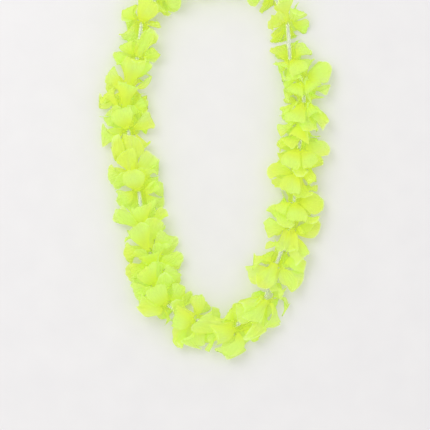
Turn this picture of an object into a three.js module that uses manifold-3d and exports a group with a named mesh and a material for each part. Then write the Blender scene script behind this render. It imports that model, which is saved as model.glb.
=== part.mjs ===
import * as THREE from "three";
import { mergeVertices } from "three/addons/utils/BufferGeometryUtils.js";
import Module from "manifold-3d";

// A lei: a closed string of neon yellow cloth blooms with clear spacer tubes between them, laid on a
// surface. Millimetres. X and Y lie in the surface, Z is up. Seen from above the lei is a long U
// whose upper ends are joined by a wide arc.
//
// A place near the string is (along, out, up): along a smooth course close to the string, outwards
// from the loop, and up from the string's height. Each bloom stays between two curved surfaces
// half-way to its neighbours, so blooms never cross, however their petals lie.

// ---- driving dimensions ----
const STRING_HEIGHT = 12; // the string lies this far above the surface
const THREAD_RADIUS = 0.5;
const THREAD_STRAIGHT = 1.4; // the thread runs straight this far either side of a bloom's middle
const KNOT_RADIUS = 1.7;
const TUBE_RADIUS = 2.1;
const TUBE_BORE = 1.5;
const HUB_RADIUS = 4; // the middle of a bloom, pressed flat between two tubes
const HUB_HALF = 1; // half its thickness
const HUB_BORE = 1.0;
const GAP = 0.3; // between pieces that touch
const CLOTH = 0.7; // thickness of a petal
const PETAL_LENGTH = 33; // from the string to the tip
const FILLER_LENGTH = 27; // the same of the petals between those that stand out, which curl more
const PETAL_HALF_WIDTH = 12;
const ROOT_RADIUS = 2.4; // where a petal starts, inside the hub
const ROOT_HALF_WIDTH = 0.8;
const WIDEST = 0.62; // share of the length at which a petal is widest
const PETALS = 10; // in two layers of five
const ROOT_STEP = 0.5; // from a bloom's surface to each layer of petals at the hub
const LAYER_STEP = 1.6; // the same further out
const LEAN_RADIUS = 8; // from here out a bloom's surface leans in full
const LOWEST = -14.5; // up, where the lowest petals aim: below the surface, so their ends lie flat on it
const CLEAR_RADIUS = 6.8; // petals stay this far from the string past their roots
const SLAB_MARGIN = 0.9; // from a petal to the surface half-way to the next bloom
const CUT_HALF = 0.6; // half the gap between two petals of one layer
const MOST_ARCH = 6; // height of the arch of a petal that is longer than its reach
const CREASE = 1.5; // how deep the cloth waves along a petal's edges
const CROSSED = 0.03; // share of its volume that tells cloth which passes through itself
// The points of a petal, row by row from its root: share of the length, side from -1 to 1.
const PETAL_ROWS = [
  [[0, 0]],
  [[0.55, -1], [0.5, 0], [0.55, 1]],
  [[0.88, -1], [1, 0], [0.88, 1]],
];

// The blooms in view, in order along the string. middle: its place seen from above. cup: how far all
// its petals lean back along the string. nod: how much more the upper ones do. tips: the petal tips
// that stand out, right and up of the middle as seen from above; a third number says how tightly
// that petal is rolled along its length: half the angle, in degrees, by which its edges turn. reach:
// how far the other petals get outwards and inwards before they curl.
const SHOWN = [
  { middle: [-81, 167], cup: 0.3, nod: 1.7, reach: [18, 14],
    tips: [[13, 26, 55], [16, 20, 45], [-2, 18], [-9, 16], [-22, 1, 50], [-26, -15], [13, -2, 40],
      [5, -16]] },
  { middle: [-90, 135.5], cup: 0.18, nod: 2.1, reach: [25, 11],
    tips: [[-26, 0], [-17, 12], [4, 17], [26, 26, 75], [-22, -17]] },
  { middle: [-94.5, 113.5], cup: 0.12, nod: 2.3, reach: [26, 19],
    tips: [[20, 7], [12, 13], [-28, 2, 60]] },
  { middle: [-91, 90.5], cup: 0, nod: 2.4, reach: [30, 18],
    tips: [[-20, 18], [-8, 25], [26, 15], [-30, -3], [-25, -19], [-10, -17], [18, -17]] },
  { middle: [-86, 45], cup: 0.12, nod: 2.4, reach: [27, 27],
    tips: [[-11, 28], [2, 31], [28, 24, 30], [-26, 0], [-24, -12], [28, 4], [-13, -17],
      [-14, 16, 45]] },
  { middle: [-80, 26], cup: 0, nod: 1.7, reach: [26, 22],
    tips: [[25, -1, 30], [20, 8, 50], [-22, -5], [-19, -21], [2, -24], [8, -13, 30]] },
  { middle: [-75.5, -10.5], cup: 0.3, nod: 1.5, reach: [22, 14],
    tips: [[-33, 8, 50], [-28, 18, 40], [23, 18, 40], [19, 6], [-13, 13], [8, 14], [-9, -8]] },
  { middle: [-69, -37], cup: 0.24, nod: 1.9, reach: [25, 33],
    tips: [[-22, 14], [-10, 19], [-25, -10], [8, 31], [18, 18], [32, 4]] },
  { middle: [-63, -54.5], cup: 0.12, nod: 1.9, reach: [33, 33],
    tips: [[-26, -5], [-5, 12], [28, 18], [31, 6], [-31, -10], [-26, -23]] },
  { middle: [-61, -72.5], cup: 0, nod: 1.7, reach: [30, 28],
    tips: [[25, 5], [19, -6], [-25, -6], [-18, -15], [-20, 4]] },
  { middle: [-51.5, -93.5], cup: 0.18, nod: 1.5, reach: [20, 30],
    tips: [[-32, 5, 30], [-28, 0], [-25, 10], [29, 10, 50], [20, 14], [2, -8], [-7, -9]] },
  { middle: [-22, -110], cup: 0, nod: 1.9, reach: [33, 27],
    tips: [[14, 19], [20, 4], [-15, 18], [-22, 5], [-5, -29, 20], [-13, -31, 75], [8, -18],
      [2, -27, 30]] },
  { middle: [21, -117.5], cup: 0.12, nod: 2.3, reach: [30, 24],
    tips: [[-33, 6], [-12, 10], [-20, -20], [-22, -8], [-17, -30], [8, -31], [19, -8], [22, -13, 75]] },
  { middle: [52.5, -89], cup: 0.36, nod: 1.9, reach: [22, 30],
    tips: [[-33, -7, 50], [-32, -15], [-24, -26], [-1, -28], [6, -32], [19, -24], [18, -17], [12, -9],
      [-5, 8], [10, 1, 50]] },
  { middle: [64, -52.5], cup: 0.18, nod: 2.4, reach: [32, 26],
    tips: [[-33, -4], [-23, -25], [-10, 13, 30], [4, -27], [16, -29], [30, -16], [29, -8, 50],
      [15, 9, 50], [-27, -2], [6, 14]] },
  { middle: [79, -14.5], cup: 0, nod: 2.4, reach: [26, 33],
    tips: [[-26, 27], [-12, 28], [-30, -1], [-18, -16], [-1, -25, 50], [17, -29, 60], [33, 7, 60],
      [13, -8, 50], [13, 18]] },
  { middle: [83, 12.5], cup: 0, nod: 1.5, reach: [33, 9],
    tips: [[-10, 22, 75], [10, 26], [21, 14], [32, 2], [26, -15], [31, -5]] },
  { middle: [86, 43], cup: 0, nod: 1.5, reach: [13, 30],
    tips: [[-32, 0], [-25, -8, 40], [-14, 25], [25, 17], [17, 4], [7, 26]] },
  { middle: [88, 68], cup: 0, nod: 1.5, reach: [33, 20],
    tips: [[-16, 15], [-15, -10], [21, 14], [34, -1, 20], [20, -12, 30]] },
  { middle: [91.5, 95.5], cup: 0.12, nod: 1.7, reach: [14, 18],
    tips: [[-23, -7], [11, -13], [-17, 0], [-4, -15]] },
  { middle: [93.5, 116.5], cup: 0.24, nod: 1.9, reach: [12, 14],
    tips: [[-23, -10, 50], [-20, -18, 60], [-10, -17], [25, -19, 60], [10, -13, 30], [8, -25]] },
  { middle: [92.5, 139.5], cup: 0, nod: 1.9, reach: [34, 19],
    tips: [[-20, -5, 60], [-18, -10, 60], [-9, -14], [-2, -18], [10, -10], [27, -2], [33, 7],
      [25, 21, 30]] },
  { middle: [79, 161.5], cup: 0, nod: 1.3, reach: [18, 12],
    tips: [[-13, 30], [-18, 24], [9, 28, 75], [7, 17], [19, 10], [16, -5], [-12, -2], [-6, -11],
      [10, -15], [3, -14]] },
];

// The blooms of the wide arc, which the rule alone shapes.
const BEHIND = [
  { middle: [76, 203], cup: 0.1, nod: -1, reach: [14, 16], tips: [] },
  { middle: [58, 238], cup: 0, nod: -1, reach: [33, 33], tips: [] },
  { middle: [21, 257], cup: 0, nod: -0.8, reach: [33, 33], tips: [] },
  { middle: [-21, 256], cup: 0, nod: 0.8, reach: [33, 33], tips: [] },
  { middle: [-57, 236], cup: 0, nod: 1.2, reach: [33, 33], tips: [] },
  { middle: [-77, 203], cup: 0.1, nod: 1.6, reach: [16, 10], tips: [] },
];
const KNOT_AFTER = 26; // the thread is tied after this bloom, where there is no tube

const CLOTH_LOOK = new THREE.MeshStandardMaterial({ color: 0xd0ff50, roughness: 0.8, metalness: 0 });
const TUBE_LOOK = new THREE.MeshStandardMaterial({ color: 0xf2f5ee, roughness: 0.1, metalness: 0 });
const THREAD_LOOK = new THREE.MeshStandardMaterial({ color: 0xf4f4e6, roughness: 0.9, metalness: 0 });

const wasm = await Module();
wasm.setup();

// ---- small helpers ----

// The same number from 0 to 1 each time for the same key.
function chance(key) {
  const x = Math.sin(key * 12.9898 + 4.1414) * 43758.5453;
  return x - Math.floor(x);
}

const spread = (key, half) => (2 * chance(key) - 1) * half;
const TURN = 2 * Math.PI;
const clamp = (x, low, high) => Math.min(high, Math.max(low, x));
const wrap = (i, n) => ((i % n) + n) % n;

// ---- the course: a closed curve that evens out the string's path ----

function courseOf(middles) {
  const n = middles.length;
  const evened = middles.map((p, i) => {
    const [a, c] = [middles[wrap(i - 1, n)], middles[wrap(i + 1, n)]];
    return [0.25 * a[0] + 0.5 * p[0] + 0.25 * c[0], 0.25 * a[1] + 0.5 * p[1] + 0.25 * c[1]];
  });
  const STEPS = 16;
  const points = [];
  for (let i = 0; i < n; i++)
    for (let k = 0; k < STEPS; k++) {
      const t = k / STEPS;
      const weights = [
        (1 - t) ** 3 / 6,
        (3 * t ** 3 - 6 * t * t + 4) / 6,
        (-3 * t ** 3 + 3 * t * t + 3 * t + 1) / 6,
        t ** 3 / 6,
      ];
      const near = [i - 1, i, i + 1, i + 2].map((j) => evened[wrap(j, n)]);
      points.push([0, 1].map((axis) => near.reduce((sum, p, j) => sum + weights[j] * p[axis], 0)));
    }
  const at = [0];
  for (let k = 0; k < points.length; k++) {
    const [p, q] = [points[k], points[(k + 1) % points.length]];
    at.push(at[k] + Math.hypot(q[0] - p[0], q[1] - p[1]));
  }
  return { points, at, length: at[points.length] };
}

// The point of the course at a distance along it, with its direction and its outward side.
function onCourse(course, along) {
  const { points, at, length } = course;
  const s = wrap(along, length);
  let low = 0;
  let high = points.length;
  while (high - low > 1) {
    const mid = (low + high) >> 1;
    if (at[mid] <= s) low = mid;
    else high = mid;
  }
  const n = points.length;
  const share = (s - at[low]) / (at[low + 1] - at[low]);
  const point = (k) => points[wrap(k, n)];
  const slope = (k) => [point(k + 1)[0] - point(k - 1)[0], point(k + 1)[1] - point(k - 1)[1]];
  const mix = (p, q) => [0, 1].map((axis) => p[axis] + (q[axis] - p[axis]) * share);
  const place = mix(point(low), point(low + 1));
  const [dx, dy] = mix(slope(low), slope(low + 1));
  const size = Math.hypot(dx, dy);
  const tangent = [dx / size, dy / size];
  return { place, tangent, outward: [tangent[1], -tangent[0]] };
}

// Where a point seen from above is: how far along the course, and how far outwards.
function toCourse(course, [x, y]) {
  let best = { far: Infinity };
  const STEP = 0.5;
  for (let along = 0; along < course.length; along += STEP) {
    const { place, outward } = onCourse(course, along);
    const far = Math.hypot(x - place[0], y - place[1]);
    if (far < best.far)
      best = { far, along, out: (x - place[0]) * outward[0] + (y - place[1]) * outward[1] };
  }
  return best;
}

// ---- the blooms' places and the surfaces that they follow ----

const blooms = [...SHOWN, ...BEHIND].map((bloom, index) => ({ ...bloom, index }));
const course = courseOf(blooms.map((bloom) => bloom.middle));
for (const bloom of blooms) {
  const { along, out } = toCourse(course, bloom.middle);
  Object.assign(bloom, { along, out });
}
const next = (bloom, step) => blooms[wrap(bloom.index + step, blooms.length)];
const middleOf = (bloom) => new THREE.Vector3(...bloom.middle, STRING_HEIGHT);
const axisOf = (bloom) => new THREE.Vector3(...onCourse(course, bloom.along).tangent, 0);

// How much of a bloom's lean its surface has taken up at a distance from the string.
const leaning = (radius) => clamp((radius - HUB_RADIUS) / (LEAN_RADIUS - HUB_RADIUS), 0, 1);

// How far along the string a bloom's surface lies at a place around it.
function lean(bloom, out, up) {
  const radius = Math.hypot(out - bloom.out, up);
  return -leaning(radius) * (bloom.cup * radius + bloom.nod * up);
}

// A number held between two others, softly at the higher one.
function heldIn(x, low, high) {
  if (x <= low || high <= low) return Math.min(low, high);
  const share = (x - low) / (high - low);
  const FREE = 0.6;
  const held = share < FREE ? share : FREE + (1 - FREE) * Math.tanh((share - FREE) / (1 - FREE));
  return low + held * (high - low);
}

// How far along the string a place on a layer is: on its own side of the bloom's surface, and short
// of the surface half-way to the neighbour on that side.
function layerPlace(bloom, layer, along, out, up) {
  const own = lean(bloom, out, up);
  const neighbour = next(bloom, layer);
  const slant = Math.hypot(1, Math.max(Math.abs(bloom.nod), Math.abs(neighbour.nod)), bloom.cup);
  const apart = wrap(layer * (neighbour.along - bloom.along), course.length);
  const room = (apart + layer * (lean(neighbour, out, up) - own)) / 2 - SLAB_MARGIN * slant;
  const grown = leaning(Math.hypot(out - bloom.out, up));
  const step = ROOT_STEP + (LAYER_STEP * slant - ROOT_STEP) * grown;
  return own + layer * heldIn(layer * (along - own), step, room);
}

// A place near a bloom as a point in space.
function toSpace(bloom, layer, [along, out, up]) {
  const height = Math.max(up + STRING_HEIGHT, CLOTH / 2);
  const place = layerPlace(bloom, layer, along, bloom.out + out, height - STRING_HEIGHT);
  const here = onCourse(course, bloom.along + place);
  return new THREE.Vector3(
    here.place[0] + here.outward[0] * (bloom.out + out),
    here.place[1] + here.outward[1] * (bloom.out + out),
    height
  );
}

// A point moved out from the string either side of a bloom, where it would be too close.
function clearOfString(bloom, point) {
  for (const step of [-1, 1]) {
    const [start, end] = [middleOf(bloom), middleOf(next(bloom, step))];
    const nearest = new THREE.Line3(start, end).closestPointToPoint(point, true, new THREE.Vector3());
    const away = point.clone().sub(nearest);
    if (away.length() < CLEAR_RADIUS) point = nearest.addScaledVector(away.normalize(), CLEAR_RADIUS);
  }
  return point;
}

// ---- petals ----

// The tip of a petal that reaches this far along and out, on its bloom's surface and no further than
// cloth of its length can.
function aimedTip(bloom, along, out) {
  let up = 0;
  for (let k = 0; k < 8; k++) up = -(along + bloom.cup * Math.hypot(out, up)) / bloom.nod;
  up = Math.max(up, LOWEST);
  const reach = Math.min(1, PETAL_LENGTH / Math.hypot(along, out, up));
  return [along * reach, out * reach, up * reach];
}

// The tip of a petal that leaves the string at an angle round it, as the bloom's surface has it.
function ruledTip(bloom, angle, length) {
  const back = -(bloom.cup + bloom.nod * Math.sin(angle));
  const size = length / Math.hypot(1, back);
  let [along, out, up] = [back * size, Math.cos(angle) * size, Math.sin(angle) * size];
  if (up < LOWEST) {
    const reach = Math.sqrt(length ** 2 - LOWEST ** 2) / Math.hypot(along, out);
    [along, out, up] = [along * reach, out * reach, LOWEST];
  }
  return [along, clamp(out, -bloom.reach[1], bloom.reach[0]), up];
}

// A bloom's petals, each with its tip and the angles that its two neighbours in its layer leave it.
// Turn is the angle round the bloom in its own tilted plane, angle the one round the string.
function petalsOf(bloom) {
  const steepness = Math.hypot(1, bloom.nod);
  const angleAt = (turn) => Math.atan2(Math.sin(turn), Math.cos(turn) * steepness);
  const petals = bloom.tips.map(([right, up, fold = 0]) => {
    const place = toCourse(course, [bloom.middle[0] + right, bloom.middle[1] + up]);
    const along = wrap(place.along - bloom.along + course.length / 2, course.length) - course.length / 2;
    const out = place.out - bloom.out;
    const tip = aimedTip(bloom, along, out);
    return { tip, fold, turn: Math.atan2(tip[2] * steepness, tip[1]) };
  });
  if (!petals.length) petals.push({ fold: 0, turn: spread(bloom.index, Math.PI) });
  while (petals.length < PETALS) {
    petals.sort((a, b) => a.turn - b.turn);
    const gaps = petals.map((petal, k) =>
      petals.length === 1 ? TURN : wrap(petals[(k + 1) % petals.length].turn - petal.turn, TURN)
    );
    const widest = gaps.indexOf(Math.max(...gaps));
    const turn = petals[widest].turn + gaps[widest] / 2;
    petals.push({ fold: 0, turn: turn > Math.PI ? turn - TURN : turn });
  }
  petals.sort((a, b) => a.turn - b.turn);
  petals.forEach((petal, k) => {
    const key = 100 * (bloom.index + 1) + k;
    const [before, after] = [petals[wrap(k - 2, PETALS)], petals[(k + 2) % PETALS]];
    petal.key = key;
    petal.layer = k % 2 ? 1 : -1;
    petal.angle = angleAt(petal.turn);
    petal.least = angleAt(petal.turn - wrap(petal.turn - before.turn, TURN) / 2);
    petal.most = angleAt(petal.turn + wrap(after.turn - petal.turn, TURN) / 2);
    if (!petal.tip) petal.tip = ruledTip(bloom, petal.angle, FILLER_LENGTH * (1 + spread(key, 0.06)));
  });
  return petals;
}

// A place near a bloom turned back about the string into its petal's share of the layer.
function inSector(bloom, petal, [along, out, up]) {
  const radius = Math.hypot(out, up);
  const off = wrap(Math.atan2(up, out) - petal.angle + Math.PI, TURN) - Math.PI;
  const kept = (share) => share - Math.min(CUT_HALF / radius, 0.4 * share);
  const least = -kept(wrap(petal.angle - petal.least, TURN));
  const most = kept(wrap(petal.most - petal.angle, TURN));
  const angle = petal.angle + clamp(off, least, most);
  const turned = [radius * Math.cos(angle), radius * Math.sin(angle)];
  const shift = lean(bloom, bloom.out + turned[0], turned[1]) - lean(bloom, bloom.out + out, up);
  return [along + shift, ...turned];
}

// Half the width of a petal at a share of its length.
function halfWidth(share) {
  if (share > WIDEST)
    return PETAL_HALF_WIDTH * Math.sqrt(1 - ((share - WIDEST) / (1 - WIDEST)) ** 2);
  const grown = Math.sin((0.5 * Math.PI * share) / WIDEST) ** 1.1;
  return ROOT_HALF_WIDTH + (PETAL_HALF_WIDTH - ROOT_HALF_WIDTH) * grown;
}

// A place across a flat petal, once the petal is rolled lengthwise until its edges have turned by an
// angle: how far sideways, and how far out of the petal's plane.
function rolled(flat, half, roll) {
  if (!roll) return [flat, 0];
  const radius = PETAL_HALF_WIDTH / roll;
  const deep = radius * (1 - Math.cos(half / radius));
  return [radius * Math.sin(flat / radius), radius * (1 - Math.cos(flat / radius)) - deep / 2];
}

// A function from (share of the length, side from -1 to 1) to a point of the petal's cloth.
function petalSurface(bloom, petal) {
  const [cos, sin] = [Math.cos(petal.angle), Math.sin(petal.angle)];
  const root = new THREE.Vector3(0, ROOT_RADIUS * cos, ROOT_RADIUS * sin);
  const chord = new THREE.Vector3(...petal.tip).sub(root);
  const reach = chord.length();
  const ahead = chord.clone().normalize();
  const side = new THREE.Vector3(-bloom.nod * cos, -sin, cos);
  side.addScaledVector(ahead, -side.dot(ahead)).normalize();
  const face = new THREE.Vector3().crossVectors(ahead, side).normalize();
  if (face.z < 0) {
    face.negate();
    side.negate();
  }
  const slack = Math.max(0, PETAL_LENGTH - ROOT_RADIUS - reach);
  const arch = petal.layer * Math.min(MOST_ARCH, Math.sqrt((3 * reach * slack) / 8));
  const roll = THREE.MathUtils.degToRad(2 * petal.fold);
  const turn = spread(petal.key + 0.1, 0.25);
  const curl = spread(petal.key + 0.2, 3);
  const phase = chance(petal.key + 0.3) * 2 * Math.PI;
  const waves = 2 + chance(petal.key + 0.4);
  return (share, across) => {
    const half = halfWidth(share);
    const flat = across * half;
    const wave = CREASE * share * across * Math.sin(phase + waves * Math.PI * share);
    let [y, z] = rolled(flat, half, roll);
    z += wave;
    [y, z] = [y * Math.cos(turn) - z * Math.sin(turn), y * Math.sin(turn) + z * Math.cos(turn)];
    z += arch * 4 * share * (1 - share) + curl * share * share;
    const place = root.clone().addScaledVector(ahead, share * reach);
    place.addScaledVector(side, y).addScaledVector(face, z);
    const placed = toSpace(bloom, petal.layer, inSector(bloom, petal, place.toArray()));
    return share > 0 ? clearOfString(bloom, placed) : placed;
  };
}

// ---- closed solids ----

// A solid from points and triangles, its faces turned outwards.
function solidFrom(points, triangles) {
  let volume = 0;
  for (const [a, b, c] of triangles)
    volume += points[a].dot(new THREE.Vector3().crossVectors(points[b], points[c]));
  const faces = volume < 0 ? triangles.map(([a, b, c]) => [a, c, b]) : triangles;
  return new wasm.Manifold(
    new wasm.Mesh({
      numProp: 3,
      vertProperties: new Float32Array(points.flatMap((p) => p.toArray())),
      triVerts: new Uint32Array(faces.flat()),
    })
  );
}

// A petal's cloth as one block for each triangle of it, which can't pass through each other's walls.
function petalBlocks(faces, above, below) {
  return faces
    .map((face) => wasm.Manifold.hull(face.flatMap((k) => [above[k].toArray(), below[k].toArray()])))
    .reduce((a, b) => a.add(b));
}

// A petal's cloth with its thickness.
function petalSolid(bloom, petal) {
  const surface = petalSurface(bloom, petal);
  const middle = PETAL_ROWS.flat().map(([share, side]) => surface(share, side));
  let count = 0;
  const rows = PETAL_ROWS.map((row) => row.map(() => count++));
  const [[root], [left, centre, right], [tipLeft, tip, tipRight]] = rows;
  const faces = [
    [root, centre, left], [root, right, centre],
    [left, centre, tipLeft], [centre, tipRight, tipLeft], [centre, right, tipRight], [tipLeft, tipRight, tip],
  ];
  const normals = faces.map(([a, b, c]) =>
    new THREE.Vector3()
      .crossVectors(middle[b].clone().sub(middle[a]), middle[c].clone().sub(middle[a]))
      .normalize()
  );
  const shifts = middle.map((_, k) => {
    const around = normals.filter((_, f) => faces[f].includes(k));
    const shift = around.reduce((sum, n) => sum.add(n), new THREE.Vector3()).normalize();
    const slant = Math.min(...around.map((n) => n.dot(shift)));
    const liesFlat = middle[k].z <= CLOTH / 2 && Math.abs(shift.z) > 0.7;
    if (liesFlat) return new THREE.Vector3(0, 0, (Math.sign(shift.z) * CLOTH) / 2);
    return shift.multiplyScalar(CLOTH / 2 / Math.max(0.5, slant));
  });
  const shifted = (sign) =>
    middle.map((p, k) => {
      const moved = p.clone().addScaledVector(shifts[k], sign);
      return moved.setZ(Math.max(0, moved.z));
    });
  const rim = [root, right, tipRight, tip, tipLeft, left];
  const triangles = faces.flatMap(([a, b, c]) => [[a, b, c], [a + count, c + count, b + count]]);
  rim.forEach((a, k) => {
    const b = rim[(k + 1) % rim.length];
    triangles.push([b, a, a + count], [b, a + count, b + count]);
  });
  const [above, below] = [shifted(1), shifted(-1)];
  const plain = solidFrom([...above, ...below], triangles);
  const blocks = petalBlocks(faces, above, below);
  const passesThroughItself = Math.abs(blocks.volume() / plain.volume() - 1) > CROSSED;
  return passesThroughItself ? blocks : plain;
}

// A round ring or, without a bore, a disc, about an axis through a point.
function ringSolid(centre, axis, half, radius, bore, sides) {
  const profile = [[bore, -half], [radius, -half], [radius, half], [bore, half], [bore, -half]];
  const shape = new THREE.LatheGeometry(profile.map(([r, z]) => new THREE.Vector2(r, z)), sides);
  shape.deleteAttribute("normal");
  shape.deleteAttribute("uv");
  shape.applyQuaternion(new THREE.Quaternion().setFromUnitVectors(new THREE.Vector3(0, 1, 0), axis));
  shape.translate(...centre.toArray());
  return solidOf(shape);
}

function solidOf(geometry) {
  const merged = mergeVertices(geometry, 1e-3);
  const position = merged.getAttribute("position");
  const points = Array.from({ length: position.count }, (_, k) =>
    new THREE.Vector3().fromBufferAttribute(position, k)
  );
  const index = merged.getIndex().array;
  const triangles = [];
  for (let k = 0; k < index.length; k += 3) triangles.push([index[k], index[k + 1], index[k + 2]]);
  return solidFrom(points, triangles.filter(([a, b, c]) => a !== b && b !== c && c !== a));
}

// A closed tube of a few sides along a closed line.
function loopSolid(line, radius, sides) {
  const up = new THREE.Vector3(0, 0, 1);
  const points = line.flatMap((p, k) => {
    const ahead = line[(k + 1) % line.length].clone().sub(line.at(k - 1)).normalize();
    const out = new THREE.Vector3().crossVectors(ahead, up).normalize();
    return Array.from({ length: sides }, (_, j) => {
      const angle = (2 * Math.PI * j) / sides;
      return p.clone()
        .addScaledVector(out, radius * Math.cos(angle))
        .addScaledVector(up, radius * Math.sin(angle));
    });
  });
  const triangles = [];
  for (let k = 0; k < line.length; k++)
    for (let j = 0; j < sides; j++) {
      const [here, there] = [k * sides, ((k + 1) % line.length) * sides];
      const [a, b] = [here + j, here + ((j + 1) % sides)];
      const [c, d] = [there + j, there + ((j + 1) % sides)];
      triangles.push([a, b, c], [b, d, c]);
    }
  return solidFrom(points, triangles);
}

// ---- the pieces ----

// The petals fused to the hub. A hollow that they seal is filled.
function bloomSolid(bloom) {
  let solid = ringSolid(middleOf(bloom), axisOf(bloom), HUB_HALF, HUB_RADIUS, HUB_BORE, 6);
  for (const petal of petalsOf(bloom)) solid = solid.add(petalSolid(bloom, petal));
  return solid.decompose().reduce((a, b) => (a.volume() > b.volume() ? a : b));
}

// How far from a bloom's middle a tube ends that meets it at a slant.
function tubeSetBack(bloom, direction) {
  const cos = Math.abs(axisOf(bloom).dot(direction));
  return (HUB_HALF + GAP + TUBE_RADIUS * Math.sqrt(1 - cos * cos)) / cos;
}

function tubeSolid(bloom) {
  const after = next(bloom, 1);
  const [start, end] = [middleOf(bloom), middleOf(after)];
  const direction = end.clone().sub(start).normalize();
  start.addScaledVector(direction, tubeSetBack(bloom, direction));
  end.addScaledVector(direction, -tubeSetBack(after, direction));
  const half = start.distanceTo(end) / 2;
  return ringSolid(start.clone().lerp(end, 0.5), direction, half, TUBE_RADIUS, TUBE_BORE, 6);
}

function threadSolid() {
  const line = blooms.flatMap((bloom) =>
    [-1, 1].map((side) => middleOf(bloom).addScaledVector(axisOf(bloom), side * THREAD_STRAIGHT))
  );
  const loop = loopSolid(line, THREAD_RADIUS, 4);
  const knot = new THREE.IcosahedronGeometry(KNOT_RADIUS, 1);
  knot.deleteAttribute("normal");
  knot.deleteAttribute("uv");
  const [before, after] = [blooms[KNOT_AFTER - 1], blooms[KNOT_AFTER]].map(middleOf);
  knot.translate(...before.lerp(after, 0.5).toArray());
  return loop.add(solidOf(knot));
}

// ---- the scene graph ----

function meshOf(name, solid, look) {
  const { numProp, vertProperties, triVerts } = solid.getMesh();
  const position = new Float32Array((vertProperties.length / numProp) * 3);
  for (let k = 0; k < position.length / 3; k++)
    position.set(vertProperties.subarray(k * numProp, k * numProp + 3), 3 * k);
  const geometry = new THREE.BufferGeometry();
  geometry.setAttribute("position", new THREE.BufferAttribute(position, 3));
  geometry.setIndex(new THREE.BufferAttribute(triVerts, 1));
  geometry.computeVertexNormals();
  const mesh = new THREE.Mesh(geometry, look);
  mesh.name = name;
  return mesh;
}

const numbered = (name, index) => `${name}_${String(index + 1).padStart(2, "0")}`;
const lei = new THREE.Group();
lei.add(meshOf("thread", threadSolid(), THREAD_LOOK));
for (const bloom of blooms) {
  lei.add(meshOf(numbered("bloom", bloom.index), bloomSolid(bloom), CLOTH_LOOK));
  if (bloom.index + 1 !== KNOT_AFTER)
    lei.add(meshOf(numbered("tube", bloom.index), tubeSolid(bloom), TUBE_LOOK));
}

// The origin is under the middle of the whole lei, on the surface that it lies on.
const bounds = new THREE.Box3().setFromObject(lei);
const centre = bounds.getCenter(new THREE.Vector3());
lei.position.set(-centre.x, -centre.y, -bounds.min.z);

const group = new THREE.Group();
group.add(lei);

export default group;
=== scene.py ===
"""A lei of neon yellow cloth blooms with clear spacer tubes, laid flat and seen from above.

Lengths are millimetres until a mesh is made, and metres from there. A place near the string is
(along, out, up): along a smooth course close to the string, outwards from the loop, and up from it.
"""

import math

import bpy
import numpy as np
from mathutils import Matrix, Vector


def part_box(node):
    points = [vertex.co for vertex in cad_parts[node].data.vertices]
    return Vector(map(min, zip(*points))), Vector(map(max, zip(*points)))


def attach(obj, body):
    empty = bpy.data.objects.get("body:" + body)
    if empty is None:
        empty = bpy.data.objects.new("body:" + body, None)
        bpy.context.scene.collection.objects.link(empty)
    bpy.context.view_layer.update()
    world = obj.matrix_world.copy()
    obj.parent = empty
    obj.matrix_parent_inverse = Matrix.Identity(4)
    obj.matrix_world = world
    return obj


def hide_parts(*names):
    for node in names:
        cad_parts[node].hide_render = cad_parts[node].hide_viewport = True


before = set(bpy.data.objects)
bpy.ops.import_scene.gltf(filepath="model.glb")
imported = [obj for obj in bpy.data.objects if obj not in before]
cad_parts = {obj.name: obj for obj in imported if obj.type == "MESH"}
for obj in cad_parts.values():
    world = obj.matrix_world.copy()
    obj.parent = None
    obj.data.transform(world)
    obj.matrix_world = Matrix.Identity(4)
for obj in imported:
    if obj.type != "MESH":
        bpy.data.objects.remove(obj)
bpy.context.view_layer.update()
METRE = 1000  # in millimetres
TINY = 1e-6  # keeps what is divided by from being nothing
TURN = 2 * math.pi

# ---- driving dimensions, as the model has them ----
STRING_HEIGHT = 12  # of the string above the surface
THREAD_RADIUS = 0.5
THREAD_STRAIGHT = 1.4  # the thread runs straight this far either side of a bloom's middle
KNOT_RADIUS = 1.7
TUBE_RADIUS = 2.1
TUBE_BORE = 1.5
HUB_RADIUS = 4  # the middle of a bloom, pressed flat between two tubes
HUB_HALF = 1  # half its thickness
GAP = 0.3  # between it and a tube
PETALS = 10  # of a bloom, in two layers of five
PETAL_LENGTH = 33  # from the string to the tip
PETAL_HALF_WIDTH = 12
WIDEST = 0.62  # share of the length at which a petal is widest
WIDENING = 1.1  # power of the sine curve that its sides follow up to there
ROOT_RADIUS = 2.4  # where a petal starts, inside the hub
ROOT_HALF_WIDTH = 0.8
FILLER_LENGTH = 27  # of the petals between those that stand out, which curl more
FILLER_SPREAD = 0.06  # share by which that length varies
MOST_ARCH = 6  # height of the arch of a petal that is longer than its reach
CREASE = 1.5  # how far the cloth waves at a petal's sides
ROOT_STEP = 0.5  # from a bloom's surface to each layer of petals at the hub
LAYER_STEP = 1.6  # the same further out
LEAN_RADIUS = 8  # from here out a bloom's surface leans in full
LOWEST = -14.5  # up, where the lowest petals aim
TIP_ROUNDS = 8  # of finding how high a tip lies on that surface
CLEAR_RADIUS = 6.8  # petals stay this far from the string past their roots
SLAB_MARGIN = 0.9  # from a petal to the surface half-way to the next bloom
CUT_HALF = 0.6  # half the gap between two petals of one layer
MOST_CUT = 0.4  # the same, at most, as a share of a petal's room to each side
FREE_SHARE = 0.6  # of its room, up to which a petal isn't squeezed
SEARCH_STEP = 0.5  # along the course, when the place nearest to a point is looked for

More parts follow.
